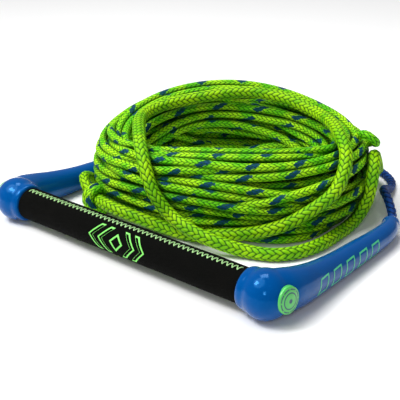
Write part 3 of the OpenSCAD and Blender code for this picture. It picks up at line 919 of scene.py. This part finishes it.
around_steps, along_steps = 144, 380
turns = 2 * np.pi * np.arange(around_steps) / around_steps
half = grip_end
along = np.linspace(-half + 0.0014, half - 0.0014, along_steps)
profile = ([(-half, cover_inner), (-half, 0.0144), (-half + 0.0005, 0.01485)]
           + [(x, cover_radius) for x in along]
           + [(half - 0.0005, 0.01485), (half, 0.0144), (half, cover_inner), (0.0, cover_inner)])
off_seam = (turns - math.pi / 2 - seam_turn + math.pi) % (2 * math.pi) - math.pi
groove = np.exp(-(off_seam * cover_radius / 0.0007) ** 2)
flank = np.exp(-((np.abs(off_seam) * cover_radius - 0.0028) / 0.0014) ** 2)
rings = []
for x, radius in profile:
    lift = 0.0
    if radius == cover_radius:
        phase = math.cos(2 * math.pi * (x / stitch_pitch / 2 + 0.25))
        lift = -0.0005 * groove - 0.00016 * flank * (1 + phase) + 0.00008 * math.sin(x * 90)
    reach = radius + lift
    rings.append(np.stack([np.full(around_steps, x), bar_y - reach * np.cos(turns),
                           bar_z + reach * np.sin(turns)], 1))
points = np.concatenate(rings)
count = len(rings)
cover = add_piece("grip_cover_wrap", points, ring_loop(count, around_steps), cover_finish)
layer = cover.data.uv_layers.new(name="wrap")
chart = []
for r in range(count):
    for s in range(around_steps):
        for q, p in ((r, s), (r, s + 1), (r + 1, s + 1), (r + 1, s)):
            chart.append((p / around_steps * 2 * math.pi * cover_radius, profile[q % count][0]))
layer.data.foreach_set("uv", np.array(chart).ravel())
outward(cover)
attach(cover, "handle")
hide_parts("grip_cover")

# ---------------------------------------------------------------------------
# The stitching. Pale green polyester thread closes the cover in a zigzag; each
# stitch bridges the seam and goes down through the neoprene at both ends.
# ---------------------------------------------------------------------------
thread_parts = Finish("seam_thread", Roughness=0.5, Sheen_Weight=0.2, Sheen_Roughness=0.4)
ply = thread_parts.noise(2600, 2, stretch=(1, 0.3, 1))
thread_finish = thread_parts.done(thread_parts.mix(ply, shade(130, 190, 110), shade(196, 236, 168)),
                                  height=ply, depth=0.0001)
stitch_tree = bpy.data.node_groups.new("zigzag_seam", "GeometryNodeTree")
for name, kind in (("Stitches", "NodeSocketInt"), ("Pitch", "NodeSocketFloat"),
                   ("Lean", "NodeSocketFloat"), ("Thread", "NodeSocketFloat"),
                   ("Reach", "NodeSocketFloat"), ("Finish", "NodeSocketMaterial")):
    stitch_tree.interface.new_socket(name, in_out="INPUT", socket_type=kind)
stitch_tree.interface.new_socket("Geometry", in_out="OUTPUT", socket_type="NodeSocketGeometry")


def sewn(kind, links=(), **settings):
    """A node of the seam's tree with its inputs wired up; gives back its outputs."""
    node = stitch_tree.nodes.new(kind)
    for setting, value in settings.items():
        setattr(node, setting, value)
    for value, socket in links:
        if isinstance(value, bpy.types.NodeSocket):
            stitch_tree.links.new(value, node.inputs[socket])
        else:
            node.inputs[socket].default_value = value
    return node.outputs


def reckon(operation, *values):
    links = [(value, place) for place, value in enumerate(values)]
    return sewn("ShaderNodeMath", links, operation=operation)[0]


def spot_at(*links):
    """A point from (value, axis) pairs; axes left out are 0."""
    return sewn("ShaderNodeCombineXYZ", links)[0]


given = sewn("NodeGroupInput")
begin = reckon("MULTIPLY", reckon("MULTIPLY", reckon("ADD", given["Stitches"], -1.0), -0.5),
               given["Pitch"])
row = sewn("GeometryNodeMeshLine",
           [(given["Stitches"], "Count"), (spot_at((begin, 0)), "Start Location"),
            (spot_at((given["Pitch"], 0)), "Offset")])[0]
half_reach = reckon("MULTIPLY", given["Reach"], 0.5)
near_end = reckon("MULTIPLY", half_reach, -1.0)
rise = reckon("MULTIPLY", given["Thread"], 2.6)
sink = reckon("MULTIPLY", given["Thread"], -1.8)
arc = sewn("GeometryNodeCurvePrimitiveBezierSegment",
           [(9, "Resolution"), (spot_at((near_end, 1), (sink, 2)), "Start"),
            (spot_at((near_end, 1), (rise, 2)), "Start Handle"),
            (spot_at((half_reach, 1), (rise, 2)), "End Handle"),
            (spot_at((half_reach, 1), (sink, 2)), "End")])[0]
bead = sewn("GeometryNodeCurvePrimitiveCircle", [(7, "Resolution"), (given["Thread"], "Radius")])[0]
stitch = sewn("GeometryNodeCurveToMesh",
              [(arc, "Curve"), (bead, "Profile Curve"), (True, "Fill Caps")])[0]
parity = reckon("MODULO", sewn("GeometryNodeInputIndex")[0], 2.0)
spin = reckon("MULTIPLY", reckon("MULTIPLY_ADD", parity, -2.0, 1.0), given["Lean"])
spread = sewn("GeometryNodeInstanceOnPoints", [(row, "Points"), (stitch, "Instance"),
                                               (spot_at((spin, 2)), "Rotation")])[0]
solid = sewn("GeometryNodeRealizeInstances", [(spread, 0)])[0]
dressed = sewn("GeometryNodeSetMaterial", [(solid, "Geometry"), (given["Finish"], "Material")])[0]
sewn("NodeGroupOutput", [(dressed, 0)])

stitching = add_piece("grip_stitches", [(0, 0, 0)], [], thread_finish)
sewing = stitching.modifiers.new("sewing", "NODES")
sewing.node_group = stitch_tree
stitch_sizes = {"Stitches": stitch_count, "Pitch": stitch_pitch, "Lean": math.radians(26),
                "Thread": 0.00045, "Reach": 0.0056, "Finish": thread_finish}
for item in stitch_tree.interface.items_tree:
    if item.in_out == "INPUT":
        sewing[item.identifier] = stitch_sizes[item.name]
mesh = settled(stitching)
flat = np.array([corner.co for corner in mesh.vertices])
reach = cover_radius - 0.0001 + flat[:, 2]
swing = flat[:, 1] / cover_radius + seam_turn
placed = np.stack([flat[:, 0], bar_y - reach * np.sin(swing), bar_z + reach * np.cos(swing)], 1)
mesh.vertices.foreach_set("co", placed.ravel())
coat(mesh, thread_finish)
mesh.polygons.foreach_set("use_smooth", [True] * len(mesh.polygons))
outward(stitching)
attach(stitching, "handle")
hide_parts("grip_stitching")

# ---------------------------------------------------------------------------
# The grip's print. A plain pattern of a diamond and arrowheads is screen
# printed on the knit in light green, and the knit breaks it up a little.
# ---------------------------------------------------------------------------
print_parts = Finish("grip_print", Roughness=0.6)
breaks = print_parts.steps(print_parts.noise(1500, 3), 0.58, 0.7)
ink = print_parts.mix(print_parts.noise(120, 2), shade(108, 214, 84), shade(140, 236, 110))
ink = print_parts.mix(print_parts.math("MULTIPLY", breaks, 0.45), ink, shade(50, 96, 44))
coat(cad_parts["grip_print"].data,
     print_parts.done(ink, height=print_parts.noise(1100, 3), depth=0.0001))

# ---------------------------------------------------------------------------
# Inside the grip and the elbows. An aluminium tube carries a black rubber
# sleeve; nylon plugs close its ends, and bent liners turn the rope's way.
# ---------------------------------------------------------------------------
tube_parts = Finish("drawn_aluminium", Metallic=1.0, Roughness=0.35)
drawn = tube_parts.noise(90, 4, stretch=(0.05, 6, 6))
metal = tube_parts.mix(drawn, shade(176, 178, 182), shade(214, 216, 220))
coat(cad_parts["bar_tube"].data,
     tube_parts.done(metal, roughness=tube_parts.math("MULTIPLY_ADD", drawn, 0.2, 0.28)))
sleeve_parts = Finish("rubber_sleeve", Roughness=0.8)
pores = sleeve_parts.noise(1400, 2)
rubber = sleeve_parts.mix(pores, shade(28, 28, 30), shade(52, 52, 54))
coat(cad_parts["grip_sleeve"].data, sleeve_parts.done(rubber, height=pores, depth=0.0002))
nylon_parts = Finish("white_nylon", Roughness=0.45)
grain = nylon_parts.noise(500, 3)
nylon_finish = nylon_parts.done(nylon_parts.mix(grain, shade(226, 226, 220), shade(240, 240, 236)),
                                height=grain, depth=0.00005)
for node in ("end_plug_left", "end_plug_right", "rope_guide_left", "rope_guide_right"):
    coat(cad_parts[node].data, nylon_finish)
core_parts = Finish("bridle_core", Roughness=0.6)
twist = core_parts.noise(500, 2, stretch=(0.4, 1, 1))
cord_blue = core_parts.mix(twist, shade(6, 30, 80), shade(14, 60, 134))
coat(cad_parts["bridle_core"].data, core_parts.done(cord_blue, height=twist, depth=0.0005))
